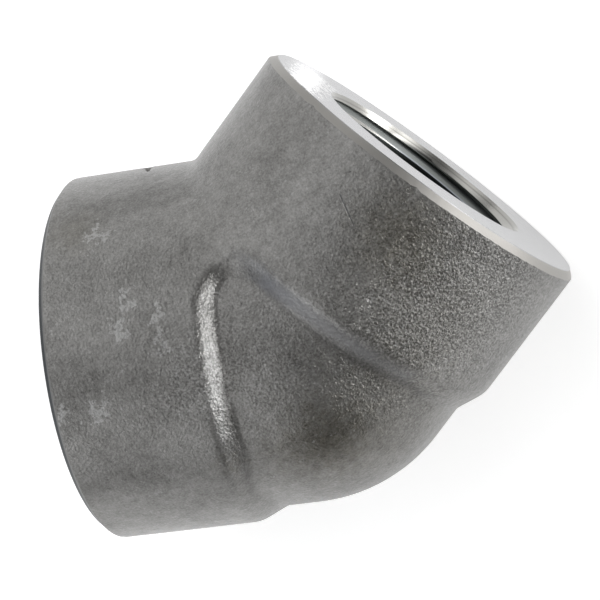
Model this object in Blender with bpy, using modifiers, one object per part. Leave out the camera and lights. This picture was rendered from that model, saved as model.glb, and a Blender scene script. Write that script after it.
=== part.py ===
"""Forged steel threaded pipe elbow, 45 degrees, for 1 inch taper pipe thread: one piece, lying at rest.

The elbow is one forging with two round hubs whose axes cross at 45 degrees. The hubs stand proud of the body
between them by a low shoulder, which on each side of the elbow runs into a round-cornered recess. Each end is
faced and chamfered, countersunk, bored for the taper thread and drilled on to the middle. It lies on its side,
tipped back until its heel meets the ground between the two hubs.

The forged skin of one hub is a loft from the round end to the elbow's mirror plane, because no turned, swept or
extruded shape has these unlike sections. A Mirror modifier makes the other hub, and the machined bores are
turned cutters. Lengths are in metres, +Z is up, and the origin is under the middle of the part.
"""

import math

import bmesh
import bpy
from mathutils import Matrix, Vector

# The turn and the pipe thread that the elbow is made for.
TURN_ANGLE = math.radians(45)
PIPE_RADIUS = 0.0167
THREAD_HEIGHT = 0.00177
THREAD_TAPER = 1 / 32
THREAD_LENGTH = 0.0185

# The forging.
CENTRE_TO_END = 0.0320
HUB_WALL = 0.0113
SHOULDER_HEIGHT = 0.00195
SHOULDER_START_AT_HEEL = 0.0050
SHOULDER_WIDTH_AT_HEEL = 0.0056
SHOULDER_START_AT_SIDE = 0.0063
SHOULDER_WIDTH_AT_SIDE = 0.0031
SHOULDER_FOOT_SHARE = 0.1
SHOULDER_ROUNDED_SHARE = 0.4
RECESS_CORNER_RADIUS = 0.0038
CROTCH_FILLET = 0.0028
VALLEY_FILLET = 0.0100

# The machining.
END_CHAMFER = 0.00115
MOUTH_CLEARANCE = 0.0006
WATERWAY_RADIUS = 0.0133
DRILL_POINT_ANGLE = math.radians(118)
CUTTER_OVERRUN = 0.0020

# How finely the round forms are divided, and how often a form or an angle is brought nearer to its true place.
HALF_CIRCLE_FACETS = 33
RECESS_FACETS = range(9, 17)
BORE_FACETS = 48
LOFT_ROWS = 17
SETTLING_ROUNDS = 12
TIPPING_ROUNDS = 24

HALF_TURN = TURN_ANGLE / 2
HUB_RADIUS = PIPE_RADIUS + HUB_WALL
BODY_RADIUS = HUB_RADIUS - SHOULDER_HEIGHT
MOUTH_RADIUS = PIPE_RADIUS + MOUTH_CLEARANCE
THREAD_CREST_RADIUS = PIPE_RADIUS - THREAD_HEIGHT
THROAT_DISTANCE = HUB_RADIUS * math.tan(HALF_TURN)
CROTCH_END = THROAT_DISTANCE + CROTCH_FILLET * math.tan(HALF_TURN)
SHOULDER_END = max(
    SHOULDER_START_AT_HEEL + SHOULDER_WIDTH_AT_HEEL,
    SHOULDER_START_AT_SIDE + SHOULDER_WIDTH_AT_SIDE,
)
ROUND_HUB_START = max(CROTCH_END, SHOULDER_END)

# The right hub's directions in the elbow's plane: along its axis, and across it towards the throat.
HUB_AXIS = Vector((math.cos(HALF_TURN), math.sin(HALF_TURN), 0))
THROAT_SIDE = Vector((-math.sin(HALF_TURN), math.cos(HALF_TURN), 0))
UPWARD = Vector((0, 0, 1))


def clear_scene():
    """Remove the objects that Blender starts with."""
    for leftover in list(bpy.data.objects):
        bpy.data.objects.remove(leftover)


def make_collection(name, helpers=False):
    """Add a collection to the scene; a collection of helpers is left out of renders."""
    collection = bpy.data.collections.new(name)
    collection.hide_render = helpers
    bpy.context.scene.collection.children.link(collection)
    return collection


def make_metal(name, colour, roughness):
    """Return a plain metal material."""
    material = bpy.data.materials.new(name)
    material.use_nodes = True
    shader = material.node_tree.nodes["Principled BSDF"]
    shader.inputs["Base Color"].default_value = (*colour, 1)
    shader.inputs["Metallic"].default_value = 1.0
    shader.inputs["Roughness"].default_value = roughness
    return material


def shoulder_rise(fraction):
    """Return the share of the shoulder's height that is reached, a given share of the way up its width.

    The slope is even, with a small fillet at its foot and a wider rounding at its top.
    """
    held = min(max(fraction, 0.0), 1.0)
    steepness = 1 / (1 - (SHOULDER_FOOT_SHARE + SHOULDER_ROUNDED_SHARE) / 2)
    if held < SHOULDER_FOOT_SHARE:
        return steepness * held**2 / (2 * SHOULDER_FOOT_SHARE)
    if held > 1 - SHOULDER_ROUNDED_SHARE:
        return 1 - steepness * (1 - held) ** 2 / (2 * SHOULDER_ROUNDED_SHARE)
    return steepness * (held - SHOULDER_FOOT_SHARE / 2)


def distance_from_middle(along, across):
    """Return how far a point lies from the elbow's middle towards the hub, as the shoulder's outline sees it.

    Seen square on to the elbow's plane, the recess is a wedge with its round corner towards the throat. Beside
    the corner this is the plain distance along the hub, and round it the corner's centre is measured from.
    """
    corner_along = SHOULDER_START_AT_SIDE - RECESS_CORNER_RADIUS
    corner_across = corner_along / math.tan(HALF_TURN)
    if across <= corner_across:
        return along
    return corner_along + math.hypot(along - corner_along, across - corner_across)


def forged_radius(along, across, angle):
    """Return the skin's distance from the hub's axis: a ball-ended body, with the shoulder raised on it.

    The shoulder is steeper at the elbow's sides than at its heel, where the halves of the die part.
    """
    body = BODY_RADIUS if along >= 0 else math.sqrt(BODY_RADIUS**2 - along**2)
    side = math.sin(angle) ** 2
    start = SHOULDER_START_AT_HEEL + (SHOULDER_START_AT_SIDE - SHOULDER_START_AT_HEEL) * side
    width = SHOULDER_WIDTH_AT_HEEL + (SHOULDER_WIDTH_AT_SIDE - SHOULDER_WIDTH_AT_HEEL) * side
    return body + SHOULDER_HEIGHT * shoulder_rise((distance_from_middle(along, across) - start) / width)


def fillet_raise(along, across, angle):
    """Return how far the fillet between the hubs lifts the skin off them, across the hub."""
    fillet = CROTCH_FILLET + (VALLEY_FILLET - CROTCH_FILLET) * math.sin(angle) ** 2
    inside = (across + fillet) * math.tan(HALF_TURN) - along
    if across <= 0 or inside <= 0:
        return 0.0
    reach = min(inside, fillet * math.sin(HALF_TURN))
    return fillet - math.sqrt(fillet**2 - reach**2)


def skin_section(along, angle):
    """Return how far across and how high the skin lies, at a distance along the hub and an angle round it.

    The shoulder's outline depends on where the skin lies across the hub, so the two are settled together.
    """
    across = HUB_RADIUS * math.cos(angle)
    for _ in range(SETTLING_ROUNDS):
        radius = forged_radius(along, across, angle)
        across = radius * math.cos(angle)
        across += fillet_raise(along, across, angle)
    return across, radius * math.sin(angle)


def mirror_plane_distance(angle):
    """Return how far along the hub's axis the skin meets the mirror plane, on the ray at this angle."""
    along = BODY_RADIUS * math.cos(angle) * math.tan(HALF_TURN)
    for _ in range(SETTLING_ROUNDS):
        across, _ = skin_section(along, angle)
        along = across * math.tan(HALF_TURN)
    return along


def skin_angles():
    """Return the angles round the hub from the throat, closer together where the recess has its corner."""
    step = math.pi / HALF_CIRCLE_FACETS
    upper = []
    for count in range(HALF_CIRCLE_FACETS + 1):
        if count in RECESS_FACETS:
            upper.append((count - 0.5) * step)
        upper.append(count * step)
    return upper + [-angle for angle in reversed(upper[1:-1])]


def skin_point(along, across, height):
    """Place a point of the hub in the elbow's frame."""
    return HUB_AXIS * along + THROAT_SIDE * across + UPWARD * height


def skin_column(angle):
    """Return the skin's points at one angle, from the end face to the mirror plane."""
    column = []
    for along, radius in (
        (CENTRE_TO_END, HUB_RADIUS - END_CHAMFER),
        (CENTRE_TO_END - END_CHAMFER, HUB_RADIUS),
    ):
        column.append(skin_point(along, radius * math.cos(angle), radius * math.sin(angle)))
    last = mirror_plane_distance(angle)
    for row in range(LOFT_ROWS + 1):
        along = ROUND_HUB_START + (last - ROUND_HUB_START) * row / LOFT_ROWS
        column.append(skin_point(along, *skin_section(along, angle)))
    column[-1].x = 0.0
    return column


def forge_half(collection, forged, machined):
    """Loft one hub, closed by its end face and open at the mirror plane."""
    form = bmesh.new()
    columns = [[form.verts.new(point) for point in skin_column(angle)] for angle in skin_angles()]
    for here, there in zip(columns, columns[1:] + columns[:1]):
        for row in range(len(here) - 1):
            face = form.faces.new((here[row], there[row], there[row + 1], here[row + 1]))
            face.material_index = 1 if row == 0 else 0
    end_face = form.faces.new([column[0] for column in reversed(columns)])
    end_face.material_index = 1
    bmesh.ops.recalc_face_normals(form, faces=form.faces)
    mesh = bpy.data.meshes.new("elbow_body")
    form.to_mesh(mesh)
    form.free()
    mesh.materials.append(forged)
    mesh.materials.append(machined)
    mesh.shade_smooth()
    mesh.set_sharp_from_angle(angle=math.radians(30))
    elbow = bpy.data.objects.new("elbow_body", mesh)
    collection.objects.link(elbow)
    return elbow


def mirror_half(elbow):
    """Make the second hub from the first, joined at the mirror plane."""
    mirror = elbow.modifiers.new("second_hub", "MIRROR")
    mirror.use_axis = (True, False, False)
    mirror.use_clip = True
    mirror.use_mirror_merge = True
    mirror.merge_threshold = 0.00001


def bore_profile():
    """Return (radius, distance along the hub) down the bore, from outside the mouth to the drill's point."""
    crest_at_face = THREAD_CREST_RADIUS
    countersink_depth = (MOUTH_RADIUS - crest_at_face) / (1 - THREAD_TAPER)
    thread_end_radius = crest_at_face - THREAD_LENGTH * THREAD_TAPER
    drill_slope = math.tan(DRILL_POINT_ANGLE / 2)
    step_depth = abs(thread_end_radius - WATERWAY_RADIUS) / drill_slope
    return (
        (0.0, CENTRE_TO_END + CUTTER_OVERRUN),
        (MOUTH_RADIUS + CUTTER_OVERRUN, CENTRE_TO_END + CUTTER_OVERRUN),
        (MOUTH_RADIUS - countersink_depth, CENTRE_TO_END - countersink_depth),
        (thread_end_radius, CENTRE_TO_END - THREAD_LENGTH),
        (WATERWAY_RADIUS, CENTRE_TO_END - THREAD_LENGTH - step_depth),
        (WATERWAY_RADIUS, 0.0),
        (0.0, -WATERWAY_RADIUS / drill_slope),
    )


def bore_cutter(name, axis, collection, material):
    """Turn the tool that cuts one hub's bore, set along that hub's axis."""
    profile = bore_profile()
    mesh = bpy.data.meshes.new(name)
    mesh.from_pydata(
        [(radius, 0, along) for radius, along in profile],
        [(index, index + 1) for index in range(len(profile) - 1)],
        [],
    )
    mesh.materials.append(material)
    cutter = bpy.data.objects.new(name, mesh)
    cutter.matrix_basis = axis.to_track_quat("Z", "Y").to_matrix().to_4x4()
    turned = cutter.modifiers.new("turned", "SCREW")
    turned.axis = "Z"
    turned.steps = turned.render_steps = BORE_FACETS
    turned.use_merge_vertices = True
    turned.merge_threshold = 0.00001
    cutter.hide_render = True
    cutter.display_type = "WIRE"
    collection.objects.link(cutter)
    return cutter


def bore_out(elbow, cutter):
    """Cut one bore into the forging."""
    cut = elbow.modifiers.new("bored_" + cutter.name, "BOOLEAN")
    cut.operation = "DIFFERENCE"
    cut.solver = "EXACT"
    cut.material_mode = "TRANSFER"
    cut.object = cutter


def lowest_height(points, tilt):
    """Return how high the lowest of these points lies, once the elbow is tipped back by this angle."""
    return min(point.y * math.sin(tilt) + point.z * math.cos(tilt) for point in points)


def resting_tilt(points):
    """Return how far the elbow tips back off its side until its heel and both hubs meet the ground together.

    Flat on its side it would balance on the inner ends of the hubs, so this is how it comes to rest.
    """
    heel = [point for point in points if point.x == 0.0]
    hub = [point for point in points if point.length > HUB_RADIUS]
    on_its_side, on_its_heel = 0.0, math.pi / 2
    for _ in range(TIPPING_ROUNDS):
        tilt = (on_its_side + on_its_heel) / 2
        if lowest_height(hub, tilt) < lowest_height(heel, tilt):
            on_its_side = tilt
        else:
            on_its_heel = tilt
    return tilt


def lay_at_rest(elbow, cutters, collection):
    """Carry everything on an empty where the axes cross, set so that the part lies at rest on the ground."""
    half = [Vector(vertex.co) for vertex in elbow.data.vertices]
    tipped_back = Matrix.Rotation(resting_tilt(half), 4, "X")
    lying = [tipped_back @ point for point in half]
    middle_y = (min(point.y for point in lying) + max(point.y for point in lying)) / 2
    lowest = min(point.z for point in lying)
    crossing = bpy.data.objects.new("axes_crossing", None)
    crossing.matrix_basis = Matrix.Translation((0, -middle_y, -lowest)) @ tipped_back
    collection.objects.link(crossing)
    for carried in (elbow, *cutters):
        carried.parent = crossing


def main():
    clear_scene()
    parts = make_collection("threaded_elbow")
    helpers = make_collection("threaded_elbow_cutters", helpers=True)
    forged = make_metal("forged_steel", (0.16, 0.155, 0.15), 0.55)
    machined = make_metal("machined_steel", (0.62, 0.61, 0.61), 0.3)

    elbow = forge_half(parts, forged, machined)
    mirror_half(elbow)
    left_axis = Vector((-HUB_AXIS.x, HUB_AXIS.y, 0))
    cutters = (
        bore_cutter("right_bore", HUB_AXIS, helpers, machined),
        bore_cutter("left_bore", left_axis, helpers, machined),
    )
    for cutter in cutters:
        bore_out(elbow, cutter)
    lay_at_rest(elbow, cutters, parts)


main()
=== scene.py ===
"""Looks of the forged threaded elbow: blasted skin, turned ends and taper threads, in a white studio.

The real elbow is one forging, so it is one closed mesh here too, made in the same form and sizes as the
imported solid. The forged skin is a fine loft with the small waves, dents and nicks of a forging, and each bore
carries its real helical thread, which a Geometry Nodes tree winds from named sizes. Lengths are in metres and
+Z is up.
"""

from __future__ import annotations

import logging
import math
from dataclasses import dataclass, field
from enum import Enum
from typing import Union

import bmesh
import bpy
from mathutils import Matrix, Vector, noise


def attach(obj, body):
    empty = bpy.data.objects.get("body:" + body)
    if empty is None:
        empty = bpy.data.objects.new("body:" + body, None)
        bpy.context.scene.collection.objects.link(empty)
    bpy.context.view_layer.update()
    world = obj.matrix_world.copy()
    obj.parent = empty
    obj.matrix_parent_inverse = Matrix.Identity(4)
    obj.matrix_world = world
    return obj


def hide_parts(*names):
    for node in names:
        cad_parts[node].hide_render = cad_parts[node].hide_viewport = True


LOG = logging.getLogger("elbow_looks")
CAD_NODE = "elbow_body"
BODY = "root"
MERGE_DISTANCE = 1e-6
SHARP_ANGLE = math.radians(30)
WHITE = (1.0, 1.0, 1.0, 1.0)
NOISE_MIDDLE = 0.5
RINGS_PER_STREAK = 1 / 0.13
RAG_SIZE = 0.0012
RAG_REACH = 3.0
SOCKET_TYPES = (
    (float, "NodeSocketFloat"),
    (int, "NodeSocketInt"),
    (tuple, "NodeSocketVector"),
    (bpy.types.Material, "NodeSocketMaterial"),
)
OUTPUT_TYPES = {"Shader": "NodeSocketFloat", "Geometry": "NodeSocketGeometry"}

Socket = bpy.types.NodeSocket
Group = bpy.types.NodeTree
Term = Union[float, int, Socket, tuple]
Range = tuple[float, float]
Point = tuple[float, float, float]
Colour = tuple[float, float, float, float]

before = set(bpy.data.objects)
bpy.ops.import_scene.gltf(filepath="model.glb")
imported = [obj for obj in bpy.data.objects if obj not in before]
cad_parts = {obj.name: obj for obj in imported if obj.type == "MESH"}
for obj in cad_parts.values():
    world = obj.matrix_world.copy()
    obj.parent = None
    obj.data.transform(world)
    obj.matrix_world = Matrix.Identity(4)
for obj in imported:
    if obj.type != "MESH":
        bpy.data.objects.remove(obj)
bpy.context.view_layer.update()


class Surface(Enum):
    """The three surfaces of the elbow, valued by their material slot on the mesh."""

    FORGED = 0
    TURNED = 1
    THREADED = 2


@dataclass(frozen=True)
class ElbowSizes:
    """Real sizes of the elbow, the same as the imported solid's."""

    turn_angle: float = math.radians(45)
    pipe_radius: float = 0.0167
    thread_height: float = 0.00177
    thread_taper: float = 1 / 32
    thread_pitch: float = 0.0254 / 11.5
    thread_length: float = 0.0185
    centre_to_end: float = 0.0320
    hub_wall: float = 0.0113
    shoulder_height: float = 0.00195
    shoulder_start_at_heel: float = 0.0050
    shoulder_width_at_heel: float = 0.0056
    shoulder_start_at_side: float = 0.0063
    shoulder_width_at_side: float = 0.0031
    shoulder_foot_share: float = 0.1
    shoulder_rounded_share: float = 0.35
    recess_corner_radius: float = 0.0038
    crotch_fillet: float = 0.0028
    valley_fillet: float = 0.0100
    end_chamfer: float = 0.00115
    mouth_clearance: float = 0.0006
    waterway_radius: float = 0.0133
    drill_point_angle: float = math.radians(118)

    @property
    def half_turn(self) -> float:
        """Angle between a hub's axis and the elbow's long direction."""
        return self.turn_angle / 2

    @property
    def hub_radius(self) -> float:
        """Outside radius of a hub."""
        return self.pipe_radius + self.hub_wall

    @property
    def body_radius(self) -> float:
        """Radius of the body between the shoulders."""
        return self.hub_radius - self.shoulder_height

    @property
    def mouth_radius(self) -> float:
        """Radius of the countersink where it meets the end face."""
        return self.pipe_radius + self.mouth_clearance

    @property
    def crest_radius(self) -> float:
        """Radius over the thread's crests in the plane of the end face."""
        return self.pipe_radius - self.thread_height

    @property
    def thread_end_radius(self) -> float:
        """Radius over the thread's crests where the thread ends."""
        return self.crest_radius - self.thread_length * self.thread_taper

    @property
    def drill_slope(self) -> float:
        """Rise of the drill's point, across for each unit along."""
        return math.tan(self.drill_point_angle / 2)


@dataclass(frozen=True)
class Stance:
    """How the elbow lies: tipped back off its side onto its heel, with its axes crossing at this place."""

    tipped_back: float = math.radians(25.0983)
    crossing: Point = (0.0, -0.005453, 0.0260442)

    def matrix(self) -> Matrix:
        """Return the transform from the elbow's own frame to the part's frame."""
        return Matrix.Translation(self.crossing) @ Matrix.Rotation(self.tipped_back, 4, "X")

    def direction(self, vector: Point) -> Vector:
        """Turn a direction of the elbow's own frame into the part's frame.

        Args:
            vector: The direction in the elbow's own frame.

        Returns:
            The same direction in the part's frame.
        """
        return self.matrix().to_3x3() @ Vector(vector)


@dataclass
class NodeSketch:
    """A node tree in the making, with short ways to add a node and to work out a value."""

    tree: bpy.types.NodeTree

    def add(self, kind: str, inputs: dict | None = None, **settings: object) -> bpy.types.Node:
        """Add one node.

        Args:
            kind: The node's type name.
            inputs: Values or sockets for its inputs, by name or number.
            **settings: Other properties of the node.

        Returns:
            The new node.
        """
        node = self.tree.nodes.new(kind)
        node.location = (180 * (len(self.tree.nodes) % 9), -160 * (len(self.tree.nodes) // 9))
        for name, value in settings.items():
            setattr(node, name, value)
        for key, value in (inputs or {}).items():
            self.feed(node.inputs[key], value)
        return node

    def feed(self, target: Socket, value: Term) -> None:
        """Link a socket into an input, or set the input's own value."""
        if isinstance(value, bpy.types.NodeSocket):
            self.tree.links.new(value, target)
        else:
            target.default_value = value

    def math(self, operation: str, *terms: Term, clamp: bool = False) -> Socket:
        """Add a Math node and return its result."""
        node = self.add("ShaderNodeMath", dict(enumerate(terms)), operation=operation, use_clamp=clamp)
        return node.outputs[0]

    def plus(self, first: Term, second: Term, clamp: bool = False) -> Socket:
        """Return the sum of two values."""
        return self.math("ADD", first, second, clamp=clamp)

    def minus(self, first: Term, second: Term, clamp: bool = False) -> Socket:
        """Return the first value less the second."""
        return self.math("SUBTRACT", first, second, clamp=clamp)

    def times(self, first: Term, second: Term) -> Socket:
        """Return the product of two values."""
        return self.math("MULTIPLY", first, second)

    def over(self, first: Term, second: Term, clamp: bool = False) -> Socket:
        """Return the first value divided by the second."""
        return self.math("DIVIDE", first, second, clamp=clamp)

    def strongest(self, masks: list[Socket]) -> Term:
        """Return the strongest of several masks, or 0 where there are none."""
        result: Term = 0.0
        for mask in masks:
            result = self.math("MAXIMUM", result, mask)
        return result

    def vector(self, operation: str, *terms: Term, result: str = "Vector") -> Socket:
        """Add a Vector Math node and return the named result."""
        node = self.add("ShaderNodeVectorMath", dict(enumerate(terms)), operation=operation)
        return node.outputs[result]

    def dot(self, first: Term, second: Term) -> Socket:
        """Return the dot product of two vectors."""
        return self.vector("DOT_PRODUCT", first, second, result="Value")

    def combine(self, first: Term, second: Term, third: Term) -> Socket:
        """Return the vector of three values."""
        return self.add("ShaderNodeCombineXYZ", {0: first, 1: second, 2: third}).outputs[0]

    def object_place(self) -> Socket:
        """Return where a point lies, in object coordinates."""
        return self.add("ShaderNodeTexCoord").outputs["Object"]

    def remap(
        self, value: Term, low: float, high: float, to_low: float = 0.0, to_high: float = 1.0
    ) -> Socket:
        """Map a value smoothly from one range to another.

        Args:
            value: The value to map.
            low: Start of the range that it comes from.
            high: End of the range that it comes from.
            to_low: What the start becomes.
            to_high: What the end becomes.

        Returns:
            The mapped value, held inside the new range.
        """
        inputs = {"Value": value, "From Min": low, "From Max": high, "To Min": to_low, "To Max": to_high}
        return self.add("ShaderNodeMapRange", inputs, interpolation_type="SMOOTHSTEP").outputs["Result"]

    def noise(self, place: Socket, size: Term, detail: float = 2.0, roughness: float = 0.5) -> Socket:
        """Return a noise value about 0.5 whose lumps are this wide."""
        scale = self.over(1.0, size) if isinstance(size, bpy.types.NodeSocket) else 1 / size
        inputs = {"Vector": place, "Scale": scale, "Detail": detail, "Roughness": roughness}
        return self.add("ShaderNodeTexNoise", inputs).outputs["Fac"]

    def mix_colour(self, factor: Term, first: Term, second: Term) -> Socket:
        """Return the mix of two colours."""
        node = self.add("ShaderNodeMix", data_type="RGBA")
        self.feed(node.inputs["Factor"], factor)
        for name, value in (("A", first), ("B", second)):
            socket = next(item for item in node.inputs if item.name == name and item.type == "RGBA")
            self.feed(socket, value)
        return next(item for item in node.outputs if item.type == "RGBA")

    def bump(self, height: Socket, depth: float) -> Socket:
        """Return the normal of a surface with a height map of this depth."""
        node = self.add("ShaderNodeBump", {"Height": height, "Distance": depth, "Strength": 1.0})
        return node.outputs["Normal"]

    def use(self, group: Group, inputs: dict | None = None) -> bpy.types.NodeOutputs:
        """Place a shader node group with its own values and return its outputs."""
        return self.add("ShaderNodeGroup", inputs, node_tree=group).outputs

    def shade(self, inputs: dict[str, Term]) -> None:
        """Feed the inputs of the material's Principled shader."""
        shader = self.tree.nodes["Principled BSDF"]
        for label, value in inputs.items():
            self.feed(shader.inputs[label], value)


def new_material(name: str) -> tuple[bpy.types.Material, NodeSketch]:
    """Start a material, and return it with a sketch of its nodes."""
    made = bpy.data.materials.new(name)
    made.use_nodes = True
    return made, NodeSketch(made.node_tree)


def new_group(
    name: str, inputs: dict[str, object], outputs: tuple[str, ...], kind: str = "Shader"
) -> NodeSketch:
    """Start a node group with named inputs and outputs.

    Args:
        name: The group's name.
        inputs: For each input, its value at first, whose type sets the socket's.
        outputs: The outputs' names.
        kind: Shader, which puts out numbers, or Geometry, which puts out meshes.

    Returns:
        A sketch of the new, empty group.
    """
    tree = bpy.data.node_groups.new(name, f"{kind}NodeTree")
    for label, value in inputs.items():
        socket_type = next(name for known, name in SOCKET_TYPES if isinstance(value, known))
        tree.interface.new_socket(label, in_out="INPUT", socket_type=socket_type).default_value = value
    for label in outputs:
        tree.interface.new_socket(label, in_out="OUTPUT", socket_type=OUTPUT_TYPES[kind])
    return NodeSketch(tree)


def hub_place_group(sizes: ElbowSizes, stance: Stance) -> Group:
    """Make the group that tells how far along and out from the nearer hub's axis a point lies.

    Args:
        sizes: The elbow's sizes.
        stance: How the elbow lies.

    Returns:
        The shader node group.
    """
    sketch = new_group("hub_place", {}, ("Along", "Radius"))
    split = sketch.add("ShaderNodeSeparateXYZ", {0: sketch.object_place()}).outputs
    folded = sketch.combine(sketch.math("ABSOLUTE", split[0]), split[1], split[2])
    from_crossing = sketch.vector("SUBTRACT", folded, stance.crossing)
    cosine, sine = math.cos(sizes.half_turn), math.sin(sizes.half_turn)
    along, across, height = (
        sketch.dot(from_crossing, tuple(stance.direction(direction)))
        for direction in ((cosine, sine, 0), (-sine, cosine, 0), (0, 0, 1))
    )
    squares = [sketch.math("POWER", part, 2.0) for part in (across, height)]
    sketch.add("NodeGroupOutput", {"Along": along, "Radius": sketch.math("SQRT", sketch.plus(*squares))})
    return sketch.tree


def turning_marks_group() -> Group:
    """Make the group of the fine rings that a lathe tool leaves, from a distance that grows ring by ring."""
    sketch = new_group("turning_marks", {"Distance": 0.0, "Feed": 0.0001}, ("Height", "Streak"))
    given = sketch.add("NodeGroupInput").outputs
    ring_place = sketch.combine(sketch.over(given["Distance"], given["Feed"]), 0.0, 0.0)
    height = sketch.noise(ring_place, 1.0, detail=1.0)
    sketch.add("NodeGroupOutput", {"Height": height, "Streak": sketch.noise(ring_place, RINGS_PER_STREAK)})
    return sketch.tree


@dataclass(frozen=True)
class BlastedGrain:
    """The small pits and grains that shot blasting leaves. Coarse places get the coarse amounts on top."""

    grain_height: float = 0.8
    pit_height: float = 0.35
    pit_scale: float = 0.6
    pit_smoothness: float = 0.4
    plain_relief: float = 0.6
    coarse_relief: float = 1.3
    tone_shift: Point = (0.31, 0.17, 0.53)
    plain_contrast: float = 1.3
    coarse_contrast: float = 4.2
    mottle_size: float = 0.0014
    cloud_size: float = 0.009
    cloud_contrast: float = 0.9
    patch_size: float = 0.0055
    patch_range: Range = (0.45, 0.62)
    fleck_range: Range = (0.58, 0.70)
    painted_glint_range: Range = (0.58, 0.68)

    def group(self) -> Group:
        """Make the group that gives the grain as a height, a tone, and pale specks with painted glints."""
        inputs = {"Grain Size": 0.0003, "Fleck Size": 0.0007, "Coarseness": 0.0}
        sketch = new_group("blasted_grain", inputs, ("Height", "Tone", "Flecks And Painted Glints"))
        given = sketch.add("NodeGroupInput").outputs
        place, coarse = sketch.object_place(), given["Coarseness"]

        def swing(value: Socket, amount: Term) -> Socket:
            """Return how far a noise value swings from its middle, times an amount."""
            return sketch.times(sketch.minus(value, NOISE_MIDDLE), amount)

        def amount(plain: float, extra: float) -> Socket:
            """Return a plain amount, with the extra on top where the skin is coarse."""
            return sketch.plus(sketch.times(coarse, extra), plain)

        grains = sketch.noise(place, given["Grain Size"], roughness=0.6)
        pit_scale = sketch.times(sketch.over(1.0, given["Grain Size"]), self.pit_scale)
        pits = sketch.add(
            "ShaderNodeTexVoronoi",
            {"Vector": place, "Scale": pit_scale, "Smoothness": self.pit_smoothness},
            feature="SMOOTH_F1",
        )
        pit_height = sketch.times(pits.outputs["Distance"], self.pit_height)
        height = sketch.plus(sketch.times(grains, self.grain_height), pit_height)
        height = sketch.times(height, amount(self.plain_relief, self.coarse_relief))
        shifted = sketch.vector("ADD", place, self.tone_shift)
        fine = sketch.noise(shifted, given["Grain Size"], roughness=0.65)
        mottle = sketch.noise(shifted, self.mottle_size, detail=3.0, roughness=0.6)
        tone = sketch.plus(swing(fine, amount(self.plain_contrast, self.coarse_contrast)), NOISE_MIDDLE)
        tone = sketch.plus(tone, swing(mottle, self.cloud_contrast))
        clouds = swing(sketch.noise(shifted, self.cloud_size), self.cloud_contrast)
        tone = sketch.plus(tone, clouds, clamp=True)
        spots = sketch.noise(place, given["Fleck Size"], detail=2.5, roughness=0.65)
        patches = sketch.remap(sketch.noise(place, self.patch_size, detail=1.0), *self.patch_range)
        flecks_and_painted_glints = sketch.times(sketch.remap(spots, *self.fleck_range), patches)
        # Painted glints: pale colour on the grain's high points where the skin is coarse, for the light that
        # glints there.
        glints = sketch.times(sketch.remap(grains, *self.painted_glint_range), coarse)
        flecks_and_painted_glints = sketch.math("MAXIMUM", flecks_and_painted_glints, glints)
        sketch.add("NodeGroupOutput", {"Height": height, "Tone": tone, "Flecks And Painted Glints": flecks_and_painted_glints})
        return sketch.tree


def skin_line_group() -> Group:
    """Make the group that draws one straight line between two points of the surface, fading to its sides."""
    inputs = {"Start": (0.0, 0.0, 0.0), "End": (0.0, 0.0, 0.001), "Width": 0.0003}
    sketch = new_group("skin_line", inputs, ("Mask",))
    given = sketch.add("NodeGroupInput").outputs
    place = sketch.object_place()
    run = sketch.vector("SUBTRACT", given["End"], given["Start"])
    gap = sketch.vector("SUBTRACT", place, given["Start"])
    share = sketch.over(sketch.dot(gap, run), sketch.dot(run, run), clamp=True)
    nearest = sketch.add("ShaderNodeVectorMath", {0: run, "Scale": share}, operation="SCALE").outputs[0]
    distance = sketch.vector("LENGTH", sketch.vector("SUBTRACT", gap, nearest), result="Value")
    closeness = sketch.minus(1.0, sketch.over(distance, given["Width"]), clamp=True)
    sketch.add("NodeGroupOutput", {"Mask": closeness})
    return sketch.tree


def soft_patch_group() -> Group:
    """Make the group that marks one soft round patch of the surface, with a ragged edge."""
    inputs = {"Centre": (0.0, 0.0, 0.0), "Radius": 0.005, "Raggedness": 0.5}
    sketch = new_group("soft_patch", inputs, ("Mask",))
    given = sketch.add("NodeGroupInput").outputs
    place = sketch.object_place()
    distance = sketch.vector("DISTANCE", place, given["Centre"], result="Value")
    wander = sketch.minus(sketch.noise(place, RAG_SIZE, detail=3.0), NOISE_MIDDLE)
    wander = sketch.times(sketch.times(wander, given["Raggedness"]), RAG_REACH)
    spread = sketch.plus(sketch.over(distance, given["Radius"]), wander)
    sketch.add("NodeGroupOutput", {"Mask": sketch.remap(spread, 0.0, 1.0, 1.0, 0.0)})
    return sketch.tree


@dataclass(frozen=True)
class SkinLine:
    """A line on the skin through points of the elbow's own frame, strongest along its middle."""

    points: tuple[Point, ...]
    width: float
    strength: float = 1.0


@dataclass(frozen=True)
class SoftPatch:
    """A soft patch of the skin, about a point of the elbow's own frame."""

    centre: Point
    radius: float
    strength: float
    raggedness: float = 0.3


@dataclass(frozen=True)
class SharedGroups:
    """The shader node groups that the finishes share, each built once, and the stance that places marks."""

    stance: Stance
    hub_place: Group
    turning_marks: Group
    skin_line: Group
    soft_patch: Group

    def lines(self, sketch: NodeSketch, lines: tuple[SkinLine, ...]) -> Term:
        """Place lines, each in straight pieces, and return the strongest's strength over the surface."""
        matrix = self.stance.matrix()
        pieces = []
        for line in lines:
            for start, end in zip(line.points, line.points[1:]):
                values = {"Start": matrix @ Vector(start), "End": matrix @ Vector(end), "Width": line.width}
                pieces.append(sketch.times(sketch.use(self.skin_line, values)["Mask"], line.strength))
        return sketch.strongest(pieces)

    def patch(self, sketch: NodeSketch, patch: SoftPatch) -> Socket:
        """Place one soft patch and return its strength over the surface."""
        centre = self.stance.matrix() @ Vector(patch.centre)
        values = {"Centre": centre, "Radius": patch.radius, "Raggedness": patch.raggedness}
        return sketch.times(sketch.use(self.soft_patch, values)["Mask"], patch.strength)

    def patches(self, sketch: NodeSketch, patches: tuple[SoftPatch, ...]) -> Term:
        """Place soft patches and return the strongest's strength over the surface."""
        return sketch.strongest([self.patch(sketch, patch) for patch in patches])


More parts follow.
